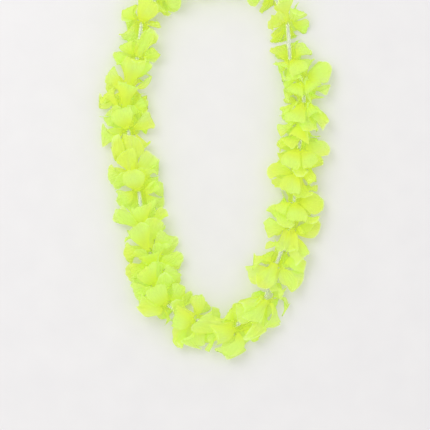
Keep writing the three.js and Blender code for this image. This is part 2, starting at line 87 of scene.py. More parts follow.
# ---- how each petal's cloth lies ----
ROWS = 22  # of points along a petal
COLUMNS = 33  # of points across it
AREA_SAMPLES = 101  # for the area of a flat petal
LOW_EDGE = 0.35  # cloth lies at least this far above the surface
TWIST = 0.25  # the most that a petal is turned about its own length, in radians
TIP_LIFT = 3  # the most that its tip leaves its plane
LEAST_WAVES = 2  # half waves along a petal's sides; a petal has up to one more
CURL_RADIUS = 3.6  # of the end of a petal that is longer than its reach
MOST_CURL = 3.3  # the most that it curls through, in radians
UPWARD_CURLS = 0.3  # share of the petals that curl upwards
SCALLOP = 0.01  # depth of a petal's scalloped edge, as a share of its length
SCALLOPS = 11
SCALLOP_FADE = (0, 4)  # length left over to curl, between which the scallops fade
KEY_STEP = 100  # from the keys of one bloom's petals to those of the next
DRAWS = {  # what is drawn for each petal, with the number that is added to its key
    "twist": 0.1, "lift": 0.2, "phase": 0.3, "waves": 0.4, "wander": 0.5, "frill": 0.6, "curl": 0.7,
}

# ---- creases, each with the shares of a petal's length at which it begins and is full ----
RIBS = 6  # pressed ribs across a petal that stand out most
RIB_DEPTH = 0.2
RIBS_FROM = (0.3, 0.62)
MOST_PLEAT = 0.34  # of the ribs' spacing, where a petal is squeezed narrower than its cut
PLEATS_FROM = (0.08, 0.3)
CRUMPLES = 3  # waves along a petal that is pressed shorter than its cut
MOST_CRUMPLE = 1.5  # height of one on a petal whose tip is under the string
LEAST_CRUMPLE = 0.5  # the same where the tip is well above it
CRUMPLE_DEPTHS = (-8, 4)  # of the tip under the string, between which that height grows
CRUMPLES_FROM = (0.15, 0.4)
CRUMPLE_BOW = 0.25  # how far a crumple bows along the petal, in waves
CRUMPLE_BOWS = 2.5  # how much of a bow it makes from the middle to a side, in radians
FRILL = 0.8  # how far the outer edge waves out of the petal's plane
FRILLS = 3.2  # waves of it across a petal
FRILL_FROM = (0.3, 0.6)
FRILL_ROWS = (0.72, 1)  # the same as shares of the rows, so that only the outer edge is frilled
FRILL_WANDER = 0.12  # how far those waves wander sideways, as a share of half the width
FRILL_WANDERS = 3  # how much of a wave they wander in along the petal, in radians
NORMAL_ROUNDS = 3  # of evening out the directions in which creases stand
LEAST_NORMAL = 1e-9  # the smallest of them that still counts in full
LEAST_CLOTH = 0.69  # share of its flat area that a disc's cloth keeps
DEEPER = (0.3, 0.5, 0.7, 0.85, 1, 1.2, 1.4, 1.7, 2, 2.4)  # creases, tried in turn until it does

# ---- hub, tube, thread and knot ----
HUB_RINGS = ((0.6, 0.2), (1.6, 0.45), (2.8, 0.6), (HUB_RADIUS, 0.8))  # radius, place along the string
HUB_SIDES = 20
HUB_RIPPLE = 0.25  # how far the hub's rim waves
HUB_RIPPLES = 5
HUB_UV = (0.5, 0.02)  # the hub is coloured like the root of a petal, painted shade and all
TUBE_SIDES = 28
TUBE_ROUNDING = 0.22
TUBE_LIP = 0.04  # how far the inner ring of a tube's end lies behind the outer one
ROUND_SHARE = 0.9  # radius of the round thread, as a share of the model's, which has flat sides
THREAD_STEPS = (0, 0.25, 0.5, 0.75)  # shares of each stretch at which the thread has points
THREAD_SIDES = 10
KNOT_SIDES = 8
KNOT_POINTS = 60
KNOT_HEIGHT = 0.55  # of the knot, as a share of its radius

# Blooms in order along the string: middle, cup and nod (how far back along the string the bloom's
# surface leans for each millimetre away from it, and for each millimetre up), reach outwards and
# inwards, and the petal tips that stand out, right and up of the middle, with the angle in degrees
# that each side of a folded one is turned by.
SHOWN = [
    (-81, 167, 0.3, 1.7, (18, 14),
     [(13, 26, 55), (16, 20, 45), (-2, 18), (-9, 16), (-22, 1, 50), (-26, -15), (13, -2, 40), (5, -16)]),
    (-90, 135.5, 0.18, 2.1, (25, 11), [(-26, 0), (-17, 12), (4, 17), (26, 26, 75), (-22, -17)]),
    (-94.5, 113.5, 0.12, 2.3, (26, 19), [(20, 7), (12, 13), (-28, 2, 60)]),
    (-91, 90.5, 0, 2.4, (30, 18),
     [(-20, 18), (-8, 25), (26, 15), (-30, -3), (-25, -19), (-10, -17), (18, -17)]),
    (-86, 45, 0.12, 2.4, (27, 27),
     [(-11, 28), (2, 31), (28, 24, 30), (-26, 0), (-24, -12), (28, 4), (-13, -17), (-14, 16, 45)]),
    (-80, 26, 0, 1.7, (26, 22),
     [(25, -1, 30), (20, 8, 50), (-22, -5), (-19, -21), (2, -24), (8, -13, 30)]),
    (-75.5, -10.5, 0.3, 1.5, (22, 14),
     [(-33, 8, 50), (-28, 18, 40), (23, 18, 40), (19, 6), (-13, 13), (8, 14), (-9, -8)]),
    (-69, -37, 0.24, 1.9, (25, 33),
     [(-22, 14), (-10, 19), (-25, -10), (8, 31), (18, 18), (32, 4)]),
    (-63, -54.5, 0.12, 1.9, (33, 33),
     [(-26, -5), (-5, 12), (28, 18), (31, 6), (-31, -10), (-26, -23)]),
    (-61, -72.5, 0, 1.7, (30, 28), [(25, 5), (19, -6), (-25, -6), (-18, -15), (-20, 4)]),
    (-51.5, -93.5, 0.18, 1.5, (20, 30),
     [(-32, 5, 30), (-28, 0), (-25, 10), (29, 10, 50), (20, 14), (2, -8), (-7, -9)]),
    (-22, -110, 0, 1.9, (33, 27),
     [(14, 19), (20, 4), (-15, 18), (-22, 5), (-5, -29, 20), (-13, -31, 75), (8, -18), (2, -27, 30)]),
    (21, -117.5, 0.12, 2.3, (30, 24),
     [(-33, 6), (-12, 10), (-20, -20), (-22, -8), (-17, -30), (8, -31), (19, -8), (22, -13, 75)]),
    (52.5, -89, 0.36, 1.9, (22, 30),
     [(-33, -7, 50), (-32, -15), (-24, -26), (-1, -28), (6, -32), (19, -24), (18, -17), (12, -9),
      (-5, 8), (10, 1, 50)]),
    (64, -52.5, 0.18, 2.4, (32, 26),
     [(-33, -4), (-23, -25), (-10, 13, 30), (4, -27), (16, -29), (30, -16), (29, -8, 50), (15, 9, 50),
      (-27, -2), (6, 14)]),
    (79, -14.5, 0, 2.4, (26, 33),
     [(-26, 27), (-12, 28), (-30, -1), (-18, -16), (-1, -25, 50), (17, -29, 60), (33, 7, 60),
      (13, -8, 50), (13, 18)]),
    (83, 12.5, 0, 1.5, (33, 9),
     [(-10, 22, 75), (10, 26), (21, 14), (32, 2), (26, -15), (31, -5)]),
    (86, 43, 0, 1.5, (13, 30),
     [(-32, 0), (-25, -8, 40), (-14, 25), (25, 17), (17, 4), (7, 26)]),
    (88, 68, 0, 1.5, (33, 20),
     [(-16, 15), (-15, -10), (21, 14), (34, -1, 20), (20, -12, 30)]),
    (91.5, 95.5, 0.12, 1.7, (14, 18), [(-23, -7), (11, -13), (-17, 0), (-4, -15)]),
    (93.5, 116.5, 0.24, 1.9, (12, 14),
     [(-23, -10, 50), (-20, -18, 60), (-10, -17), (25, -19, 60), (10, -13, 30), (8, -25)]),
    (92.5, 139.5, 0, 1.9, (34, 19),
     [(-20, -5, 60), (-18, -10, 60), (-9, -14), (-2, -18), (10, -10), (27, -2), (33, 7), (25, 21, 30)]),
    (79, 161.5, 0, 1.3, (18, 12),
     [(-13, 30), (-18, 24), (9, 28, 75), (7, 17), (19, 10), (16, -5), (-12, -2), (-6, -11),
      (10, -15), (3, -14)]),
]
# The guessed ones behind the neck, in the same form.
BEHIND = [
    (76, 203, 0.1, -1, (14, 16), []),
    (58, 238, 0, -1, (33, 33), []),
    (21, 257, 0, -0.8, (33, 33), []),
    (-21, 256, 0, 0.8, (33, 33), []),
    (-57, 236, 0, 1.2, (33, 33), []),
    (-77, 203, 0.1, 1.6, (16, 10), []),
]
KNOT_AFTER = 26  # blooms; the knot lies there in place of a tube


# ---- small helpers ----
def chance(key):
    """The same number from 0 to 1 each time for the same key, with no pattern from key to key."""
    x = math.sin(key * 12.9898 + 4.1414) * 43758.5453
    return x - math.floor(x)


def spread(key, half):
    """The same number from -half to half each time for the same key."""
    return (2 * chance(key) - 1) * half


def unit(v):
    return v / np.linalg.norm(v, axis=-1, keepdims=True)


def smooth(x, low, high):
    """0 below low, 1 above high, and a smooth step between them."""
    t = np.clip((x - low) / (high - low), 0, 1)
    return t * t * (3 - 2 * t)


# ---- the course: a closed curve that evens out the string's path ----
class Course:
    """A closed cubic B-spline round the evened middles of the blooms, as short straight steps."""

    STEPS = 16  # from one bloom to the next

    def __init__(self, middles):
        middles = np.array(middles, float)
        n = len(middles)
        # Each middle counts a half, and the ones before and after it a quarter each.
        evened = 0.25 * np.roll(middles, 1, 0) + 0.5 * middles + 0.25 * np.roll(middles, -1, 0)
        t = np.arange(self.STEPS)[:, None] / self.STEPS
        weights = np.hstack([
            (1 - t) ** 3 / 6,
            (3 * t**3 - 6 * t * t + 4) / 6,
            (-3 * t**3 + 3 * t * t + 3 * t + 1) / 6,
            t**3 / 6,
        ])
        near = np.array([[evened[(i + j) % n] for j in (-1, 0, 1, 2)] for i in range(n)])
        self.points = np.einsum("tk,ikd->itd", weights, near).reshape(-1, 2)
        steps = np.linalg.norm(np.roll(self.points, -1, 0) - self.points, axis=1)
        self.at = np.concatenate([[0], np.cumsum(steps)])
        self.length = self.at[-1]
        self.slopes = np.roll(self.points, -1, 0) - np.roll(self.points, 1, 0)

    def on(self, along):
        """Places, directions and outward sides at distances along the course."""
        s = np.mod(along, self.length)
        low = np.clip(np.searchsorted(self.at, s, side="right") - 1, 0, len(self.points) - 1)
        share = ((s - self.at[low]) / (self.at[low + 1] - self.at[low]))[..., None]
        after = (low + 1) % len(self.points)
        place = self.points[low] * (1 - share) + self.points[after] * share
        tangent = unit(self.slopes[low] * (1 - share) + self.slopes[after] * share)
        outward = np.stack([tangent[..., 1], -tangent[..., 0]], -1)
        return place, tangent, outward

    def nearest(self, point):
        """How far along the course a point seen from above is, and how far outwards."""
        along = np.arange(0, self.length, SEARCH_STEP)
        place, _, outward = self.on(along)
        off = np.asarray(point, float) - place
        best = int(np.argmin(np.hypot(off[:, 0], off[:, 1])))
        return along[best], float(off[best] @ outward[best])


# ---- the blooms' places and the surfaces that they follow ----
class Bloom:
    """One row of the tables, and its place along the course and out from it."""

    def __init__(self, index, row):
        self.index = index
        self.middle, self.cup, self.nod = np.array(row[:2], float), row[2], row[3]
        self.reach, self.tips = row[4], row[5]


blooms = [Bloom(k, row) for k, row in enumerate(SHOWN + BEHIND)]
course = Course([b.middle for b in blooms])
for bloom in blooms:
    bloom.along, bloom.out = course.nearest(bloom.middle)


def neighbour(bloom, step):
    return blooms[(bloom.index + step) % len(blooms)]


def middle_of(bloom):
    return np.array([*bloom.middle, STRING_HEIGHT])


def axis_of(bloom):
    """The direction of the thread through a bloom's middle."""
    _, tangent, _ = course.on(bloom.along)
    return np.array([*tangent, 0.0])


def leaning(radius):
    """How much of its lean a bloom's surface has this far from the string, from 0 to 1."""
    return np.clip((radius - HUB_RADIUS) / (LEAN_RADIUS - HUB_RADIUS), 0, 1)


def lean(bloom, out, up):
    """How far along the string a bloom's surface lies at a place around it."""
    radius = np.hypot(out - bloom.out, up)
    return -leaning(radius) * (bloom.cup * radius + bloom.nod * up)


def softly(x, room):
    """Numbers from 0 up, held below a limit that they near softly."""
    share = x / room
    tight = 1 - FREE_SHARE
    held = FREE_SHARE + tight * np.tanh((share - FREE_SHARE) / tight)
    return room * np.where(share < FREE_SHARE, share, held)


def held_in(x, low, high):
    """Numbers held between two others, softly at the higher one."""
    held = low + softly(x - low, np.where(high > low, high - low, 1))
    return np.where((x <= low) | (high <= low), np.minimum(low, high), held)


def layer_place(bloom, layer, along, out, up):
    """How far along the string a place of one layer lies, held off the other layer and neighbour."""
    own = lean(bloom, out, up)
    other = neighbour(bloom, layer)
    slant = math.hypot(1, max(abs(bloom.nod), abs(other.nod)), bloom.cup)
    apart = (layer * (other.along - bloom.along)) % course.length
    room = (apart + layer * (lean(other, out, up) - own)) / 2 - SLAB_MARGIN * slant
    grown = leaning(np.hypot(out - bloom.out, up))
    step = ROOT_STEP + (LAYER_STEP * slant - ROOT_STEP) * grown
    return own + layer * held_in(layer * (along - own), step, room)


def to_space(bloom, layer, along, out, up):
    """Places near a bloom as points in space."""
    height = np.maximum(up + STRING_HEIGHT, LOW_EDGE)
    place = layer_place(bloom, layer, along, bloom.out + out, height - STRING_HEIGHT)
    here, _, outward = course.on(bloom.along + place)
    flat = here + outward * (bloom.out + out)[..., None]
    return np.concatenate([flat, height[..., None]], -1)


def clear_of_string(bloom, points):
    """Points moved out from the string either side of a bloom, where they would be too close."""
    for step in (-1, 1):
        start, end = middle_of(bloom), middle_of(neighbour(bloom, step))
        line = end - start
        share = np.clip((points - start) @ line / (line @ line), 0, 1)
        nearest = start + share[..., None] * line
        away = points - nearest
        far = np.linalg.norm(away, axis=-1, keepdims=True)
        moved = nearest + away / np.maximum(far, TINY) * CLEAR_RADIUS
        points = np.where(far < CLEAR_RADIUS, moved, points)
    return points


# ---- petals: their tips and their shares of a bloom ----
def aimed_tip(bloom, along, out):
    """The tip of a petal that reaches this far along and out, on its bloom's surface."""
    up = 0.0
    for _ in range(TIP_ROUNDS):
        up = -(along + bloom.cup * math.hypot(out, up)) / bloom.nod
    up = max(up, LOWEST)
    reach = min(1, PETAL_LENGTH / math.hypot(along, out, up))
    return [along * reach, out * reach, up * reach]


def ruled_tip(bloom, angle, length):
    """The tip of a petal that leaves the string at an angle round it."""
    back = -(bloom.cup + bloom.nod * math.sin(angle))
    size = length / math.hypot(1, back)
    along, out, up = back * size, math.cos(angle) * size, math.sin(angle) * size
    if up < LOWEST:
        reach = math.sqrt(length**2 - LOWEST**2) / math.hypot(along, out)
        along, out, up = along * reach, out * reach, LOWEST
    return [along, min(max(out, -bloom.reach[1]), bloom.reach[0]), up]


def shown_petals(bloom):
    """The petals that stand out, with their tips, or one drawn turn where none does."""
    steepness = math.hypot(1, bloom.nod)
    half = course.length / 2
    petals = []
    for right, up, *fold in bloom.tips:
        along, out = course.nearest(bloom.middle + [right, up])
        tip = aimed_tip(bloom, (along - bloom.along + half) % course.length - half, out - bloom.out)
        turn = math.atan2(tip[2] * steepness, tip[1])
        petals.append({"tip": tip, "fold": fold[0] if fold else 0, "turn": turn})
    return petals or [{"fold": 0, "turn": spread(bloom.index, math.pi)}]


def fill_round(petals):
    """Petals added in the middle of the widest gap until a bloom is full, sorted by their turn."""
    while len(petals) < PETALS:
        petals.sort(key=lambda p: p["turn"])
        count = len(petals)
        gaps = [
            TURN if count == 1 else (petals[(k + 1) % count]["turn"] - p["turn"]) % TURN
            for k, p in enumerate(petals)
        ]
        widest = gaps.index(max(gaps))
        turn = petals[widest]["turn"] + gaps[widest] / 2
        petals.append({"fold": 0, "turn": turn - TURN if turn > math.pi else turn})
    petals.sort(key=lambda p: p["turn"])


def petals_of(bloom):
    """A bloom's petals, each with its tip and the angles that its two neighbours leave it."""
    steepness = math.hypot(1, bloom.nod)

    def angle_at(turn):
        return math.atan2(math.sin(turn), math.cos(turn) * steepness)

    petals = shown_petals(bloom)
    fill_round(petals)
    for k, petal in enumerate(petals):
        # Of the same layer, the petals before and after it are two places away.
        before, after = petals[(k - 2) % PETALS], petals[(k + 2) % PETALS]
        petal["key"] = KEY_STEP * (bloom.index + 1) + k
        petal["layer"] = 1 if k % 2 else -1
        petal["angle"] = angle_at(petal["turn"])
        petal["least"] = angle_at(petal["turn"] - ((petal["turn"] - before["turn"]) % TURN) / 2)
        petal["most"] = angle_at(petal["turn"] + ((after["turn"] - petal["turn"]) % TURN) / 2)
        if "tip" not in petal:
            length = FILLER_LENGTH * (1 + spread(petal["key"], FILLER_SPREAD))
            petal["tip"] = ruled_tip(bloom, petal["angle"], length)
    return petals


def in_sector(bloom, petal, along, out, up):
    """Places near a bloom turned back about the string into their petal's share of the layer."""
    radius = np.hypot(out, up)
    off = np.mod(np.arctan2(up, out) - petal["angle"] + math.pi, TURN) - math.pi

    def kept(share):
        return share - np.minimum(CUT_HALF / radius, MOST_CUT * share)

    least = kept((petal["angle"] - petal["least"]) % TURN)
    most = kept((petal["most"] - petal["angle"]) % TURN)
    angle = petal["angle"] + np.sign(off) * softly(np.abs(off), np.where(off < 0, least, most))
    turned_out, turned_up = radius * np.cos(angle), radius * np.sin(angle)
    shift = lean(bloom, bloom.out + turned_out, turned_up) - lean(bloom, bloom.out + out, up)
    return along + shift, turned_out, turned_up


# ---- petals: their cloth ----
def half_width(share):
    """Half the width of a petal at a share of its length, up to its widest place."""
    grown = np.sin(0.5 * math.pi * np.minimum(share, WIDEST) / WIDEST) ** WIDENING
    return ROOT_HALF_WIDTH + (PETAL_HALF_WIDTH - ROOT_HALF_WIDTH) * grown


def outline(share):
    """Half the width of a petal at a share of its length."""
    past = np.clip((share - WIDEST) / (1 - WIDEST), 0, 1)
    return half_width(share) * np.sqrt(1 - past**2)


def rim_share(across):
    """The share of its length at which a petal ends, at a place across it from -1 to 1."""
    return WIDEST + (1 - WIDEST) * np.sqrt(1 - across**2)


def drawn(petal, what):
    """A petal's own number from 0 to 1 for one thing that is drawn."""
    return chance(petal["key"] + DRAWS[what])


def rolled(flat, share, roll):
    """Places across a flat petal once it is rolled lengthwise, its edges turned by an angle."""
    if roll == 0:
        return flat, 0 * flat
    radius = PETAL_HALF_WIDTH / roll
    deep = radius * (1 - np.cos(outline(share) / radius))
    return radius * np.sin(flat / radius), radius * (1 - np.cos(flat / radius)) - deep / 2


def curled(share, reach, left):
    """How far ahead and aside a place along a petal is, whose end curls where it is too long."""
    length = share * (reach + left)
    if left <= 0:
        return length, 0 * length
    # The curl starts a radius short of the reach, and takes what is left over.
    radius = max(CURL_RADIUS, left / (MOST_CURL - 1))
    turned = np.clip((length - (reach - radius)) / radius, 0, None)
    onward = np.where(turned > 0, reach - radius + radius * np.sin(turned), length)
    return onward, radius * (1 - np.cos(turned))


def petal_frame(bloom, petal):
    """A petal's root, its reach from there to its tip, and the directions ahead, aside and off it."""
    cos, sin = math.cos(petal["angle"]), math.sin(petal["angle"])
    root = np.array([0, ROOT_RADIUS * cos, ROOT_RADIUS * sin])
    chord = np.array(petal["tip"]) - root
    reach = np.linalg.norm(chord)
    ahead = chord / reach
    side = np.array([-bloom.nod * cos, -sin, cos])
    side = unit(side - (side @ ahead) * ahead)
    face = np.cross(ahead, side)
    if face[2] < 0:
        face, side = -face, -side
    return root, reach, ahead, side, face


def cut_out(left, phase):
    """A flat petal's points: their rows, their places across it, and their shares of its length."""
    across = np.linspace(-1, 1, COLUMNS)[None, :]
    row = np.linspace(0, 1, ROWS)[:, None]
    shown = 1 - smooth(left, *SCALLOP_FADE)  # a curled end shows no scallops
    scallop = shown * SCALLOP * np.cos(SCALLOPS * math.pi * across + phase) * (1 - across**2)
    return row, across, row * (rim_share(across) + scallop)


def folded(petal, across, share, phase):
    """Places aside and off a petal's plane, once it is folded, waved at its sides and twisted."""
    twist = spread(petal["key"] + DRAWS["twist"], TWIST)
    waves = LEAST_WAVES + drawn(petal, "waves")
    y, z = rolled(across * half_width(share), share, math.radians(2 * petal["fold"]))
    z = z + CREASE * share * across * np.sin(phase + waves * math.pi * share)
    cos, sin = math.cos(twist), math.sin(twist)
    return y * cos - z * sin, y * sin + z * cos


def petal_points(bloom, petal, deeper):
    """A petal's cloth as rows of points from its root, and each point's place on the flat petal."""
    root, reach, ahead, side, face = petal_frame(bloom, petal)
    # A flat arch is longer than its reach by 8/3 of its height squared, over the reach.
    slack = max(0, PETAL_LENGTH - ROOT_RADIUS - reach)
    arch = petal["layer"] * min(MOST_ARCH, math.sqrt(3 * reach * slack / 8))
    left = max(0, slack - 8 / 3 * arch**2 / reach)
    phase = drawn(petal, "phase") * TURN
    row, across, share = cut_out(left, phase)

    y, z = folded(petal, across, share, phase)
    onward, aside = curled(share, reach, left)
    lift = spread(petal["key"] + DRAWS["lift"], TIP_LIFT)
    z = z + arch * 4 * share * (1 - share) + lift * share**2
    z = z + aside * (1 if drawn(petal, "curl") < UPWARD_CURLS else -1)
    place = root + onward[..., None] * ahead + y[..., None] * side + z[..., None] * face

    placed = to_space(bloom, petal["layer"], *in_sector(bloom, petal, *np.moveaxis(place, -1, 0)))
    points = np.where(share[..., None] > 0, clear_of_string(bloom, placed), placed)
    return creased(petal, points, row, across, share, deeper), np.broadcast_arrays(across, share)


# ---- creases ----
def evened(grid):
    """Each point of a grid averaged with those round it."""
    wide = np.pad(grid, ((1, 1), (1, 1), (0, 0)), mode="edge")
    rows = wide[:-2] + 2 * wide[1:-1] + wide[2:]
    return (rows[:, :-2] + 2 * rows[:, 1:-1] + rows[:, 2:]) / 16


def off_cloth(points):
    """The direction off the cloth at each point of a grid, evened out."""
    normal = np.cross(np.gradient(points, axis=0), np.gradient(points, axis=1))
    for _ in range(NORMAL_ROUNDS):
        size = np.linalg.norm(normal, axis=-1, keepdims=True)
        normal = evened(normal / np.maximum(size, LEAST_NORMAL))
    return normal


def wave_height(length, lost, waves):
    """The height of waves that shorten cloth to this length from one that is longer by what is lost."""
    return np.sqrt(4 * length * lost) / (TURN * waves)


def ribbed(points, across, share, deeper):
    """How far off its plane a petal's ribs stand, and its pleats, where it is squeezed narrower."""
    width = np.linalg.norm(np.diff(points, axis=1), axis=-1).sum(1, keepdims=True)
    lost = np.maximum(0, 2 * half_width(share.max(1, keepdims=True)) - width)
    pleats = np.minimum(MOST_PLEAT * width / RIBS, wave_height(width, lost, RIBS))
    deep = RIB_DEPTH * smooth(share, *RIBS_FROM) + deeper * pleats * smooth(share, *PLEATS_FROM)
    return deep * np.cos(math.pi * RIBS * across)


def frilled(petal, row, across, share):
    """How far off its plane a petal's outer edge waves."""
    wander = across + FRILL_WANDER * np.sin(FRILL_WANDERS * share + drawn(petal, "wander") * TURN)
    wave = np.sin(FRILLS * math.pi * wander + drawn(petal, "frill") * TURN)
    return FRILL * smooth(row, *FRILL_ROWS) * wave * smooth(share, *FRILL_FROM)


def crumpled(petal, points, across, share, deeper):
    """How far off its plane a petal's crumples stand, where it is pressed shorter than its cut."""
    lowness = float(smooth(-petal["tip"][2], *CRUMPLE_DEPTHS))
    most = LEAST_CRUMPLE + (MOST_CRUMPLE - LEAST_CRUMPLE) * lowness
    length = np.linalg.norm(np.diff(points, axis=0), axis=-1).sum(0).mean()
    lost = max(0, share[-1].mean() * (PETAL_LENGTH - ROOT_RADIUS) - length)
    height = min(most, wave_height(length, lost, CRUMPLES))
    bent = CRUMPLES * share + CRUMPLE_BOW * np.sin(CRUMPLE_BOWS * across + petal["key"])
    return deeper * height * smooth(share, *CRUMPLES_FROM) * np.sin(TURN * bent)


def creased(petal, points, row, across, share, deeper):
    """A petal's points with its pressed ribs, its frilled edge, and its creases where it is squeezed."""
    off = ribbed(points, across, share, deeper) + frilled(petal, row, across, share)
    off = off + crumpled(petal, points, across, share, deeper)
    moved = points + off_cloth(points) * off[..., None]
    moved[..., 2] = np.maximum(moved[..., 2], LOW_EDGE)
    return moved


# ---- meshes ----
def tube_ends(bloom):
    """The ends of the tube after a bloom, clear of the hubs of both its neighbours."""
    after = neighbour(bloom, 1)
    start, end = middle_of(bloom), middle_of(after)
    direction = unit(end - start)

    def set_back(at):
        cos = abs(axis_of(at) @ direction)
        return (HUB_HALF + GAP + TUBE_RADIUS * math.sqrt(1 - cos * cos)) / cos

    return start + direction * set_back(bloom), end - direction * set_back(after)


def part_offset():
    """From the page's millimetres to the model's metres: a tube's box says where its middle is."""
    low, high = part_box("tube_01")
    shown = (np.array(low) + np.array(high)) / 2
    start, end = tube_ends(blooms[0])
    return shown - (start + end) / 2 / METRE


OFFSET = part_offset()
OFFSET[2] = 0


def object_from(name, points, faces, material, node, uv=None):
    """A piece from points in page millimetres, in place of a node of the model."""
    mesh = bpy.data.meshes.new(name)
    mesh.from_pydata((np.asarray(points) / METRE + OFFSET).tolist(), [], faces)
    mesh.validate()
    if uv is not None:
        layer = mesh.uv_layers.new(name="cloth")
        corners = np.zeros(len(mesh.loops), int)
        mesh.loops.foreach_get("vertex_index", corners)
        layer.data.foreach_set("uv", np.asarray(uv)[corners].ravel())
    mesh.polygons.foreach_set("use_smooth", [True] * len(mesh.polygons))
    mesh.materials.append(material)
    piece = bpy.data.objects.new(name, mesh)
    bpy.context.scene.collection.objects.link(piece)
    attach(piece, "root")
    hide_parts(node)
    return piece


def grid_faces(rows, columns, start, closed=False):
    """Faces between rows of points, the first of which has the number start."""
    last = columns if closed else columns - 1
    faces = []
    for r in range(rows - 1):
        for c in range(last):
            d = (c + 1) % columns
            faces.append((
                start + r * columns + c,
                start + r * columns + d,
                start + (r + 1) * columns + d,
                start + (r + 1) * columns + c,
            ))
    return faces


def closed_faces(rings, sides):
    """Faces between rings of points, of which the last is joined to the first again."""
    last = (rings - 1) * sides
    joined = [(last + c, last + (c + 1) % sides, (c + 1) % sides, c) for c in range(sides)]
    return grid_faces(rings, sides, 0, closed=True) + joined


def hub_points(bloom, layer):
    """The pressed middle of one disc of cloth: rings of points round the string."""
    axis = axis_of(bloom)
    out = np.array([axis[1], -axis[0], 0])
    up = np.array([0.0, 0.0, 1.0])
    points = []
    for radius, shift in HUB_RINGS:
        for k in range(HUB_SIDES):
            angle = TURN * k / HUB_SIDES
            ripple = HUB_RIPPLE * math.sin(HUB_RIPPLES * angle + bloom.index) * radius / HUB_RADIUS
            points.append(
                middle_of(bloom)
                + axis * layer * (shift + ripple)
                + out * radius * math.cos(angle)
                + up * radius * math.sin(angle)
            )
    return np.array(points), grid_faces(len(HUB_RINGS), HUB_SIDES, 0, closed=True)


def flat_area():
    """The area of one flat petal, in square metres."""
    length = PETAL_LENGTH - ROOT_RADIUS
    shares = np.linspace(0, WIDEST, AREA_SAMPLES)
    rim = rim_share(np.linspace(-1, 1, AREA_SAMPLES)) * length
    below = np.mean(2 * half_width(shares)) * WIDEST * length
    above = np.mean(rim - WIDEST * length) * 2 * PETAL_HALF_WIDTH
    return (below + above) / METRE**2


def grid_area(grid):
    """The area of a grid of points, in square metres."""
    one, other = grid[1:, 1:] - grid[:-1, :-1], grid[1:, :-1] - grid[:-1, 1:]
    return np.linalg.norm(np.cross(one, other), axis=-1).sum() / 2 / METRE**2


def cloth_petals(bloom, petals):
    """The petals of one disc, with creases deep enough that its cloth keeps its area."""
    for deeper in DEEPER:
        made = [petal_points(bloom, petal, deeper) for petal in petals]
        if sum(grid_area(grid) for grid, _ in made) > LEAST_CLOTH * len(petals) * flat_area():
            break
    return made


def disc_mesh(bloom, layer, petals):
    """One disc of cloth: its points, its faces, and each point's place on its flat petal."""
    hub, faces = hub_points(bloom, layer)
    points = [hub]
    places = [np.tile(HUB_UV, (len(hub), 1))]
    count = len(hub)
    for grid, (across, share) in cloth_petals(bloom, petals):
        faces = faces + grid_faces(ROWS, COLUMNS, count)
        points.append(grid.reshape(-1, 3))
        places.append(np.stack([(across + 1) / 2, share], -1).reshape(-1, 2))
        count += ROWS * COLUMNS
    return np.vstack(points), faces, np.vstack(places)


def bloom_pieces(bloom, material):
    """A bloom's two discs of cloth, each with its five petals and its pressed middle."""
    node = f"bloom_{bloom.index + 1:02d}"
    petals = petals_of(bloom)
    for layer, word in ((-1, "back"), (1, "front")):
        own = [petal for petal in petals if petal["layer"] == layer]
        points, faces, uv = disc_mesh(bloom, layer, own)
        piece = object_from(f"{node}_{word}", points, faces, material, node, uv)


def tube_piece(bloom, material):
    """A clear spacer tube with rounded ends."""
    node = f"tube_{bloom.index + 1:02d}"
    start, end = tube_ends(bloom)
    ahead = unit(end - start)
    out = unit(np.cross(ahead, [0, 0, 1]))
    up = np.cross(out, ahead)
    length = np.linalg.norm(end - start)
    r = TUBE_ROUNDING
    profile = [
        (TUBE_BORE, r), (TUBE_BORE + r / 2, TUBE_LIP), (TUBE_RADIUS - r, 0), (TUBE_RADIUS, r),
        (TUBE_RADIUS, length / 2), (TUBE_RADIUS, length - r), (TUBE_RADIUS - r, length),
        (TUBE_BORE + r / 2, length - TUBE_LIP), (TUBE_BORE, length - r), (TUBE_BORE, length / 2),
    ]
    angles = TURN * np.arange(TUBE_SIDES) / TUBE_SIDES
    points = [
        start + ahead * along + radius * (out * math.cos(a) + up * math.sin(a))
        for radius, along in profile
        for a in angles
    ]
    faces = closed_faces(len(profile), TUBE_SIDES)
    object_from(f"{node}_clear", points, faces, material, node)


def swept(line, radius, sides):
    """Points and faces of a round cord along a closed line of points."""
    line = np.asarray(line, float)
    ahead = unit(np.roll(line, -1, 0) - np.roll(line, 1, 0))
    side = unit(np.cross(ahead, [0, 0, 1.0]) + TINY)
    up = np.cross(side, ahead)
    angles = TURN * np.arange(sides) / sides
    cos, sin = np.cos(angles)[None, :, None], np.sin(angles)[None, :, None]
    ring = side[:, None] * cos + up[:, None] * sin
    return (line[:, None] + radius * ring).reshape(-1, 3), closed_faces(len(line), sides)


def knot_line():
    """A small trefoil, half-way between the two blooms that the knot lies between."""
    middle = (middle_of(blooms[KNOT_AFTER - 1]) + middle_of(blooms[KNOT_AFTER])) / 2
    turns = np.linspace(0, TURN, KNOT_POINTS, endpoint=False)
    trefoil = np.stack([
        (np.cos(2 * turns) * (2 + np.cos(3 * turns))) / 3,
        (np.sin(2 * turns) * (2 + np.cos(3 * turns))) / 3,
        np.sin(3 * turns) * KNOT_HEIGHT,
    ], -1)
    return trefoil * (KNOT_RADIUS - THREAD_RADIUS) + middle


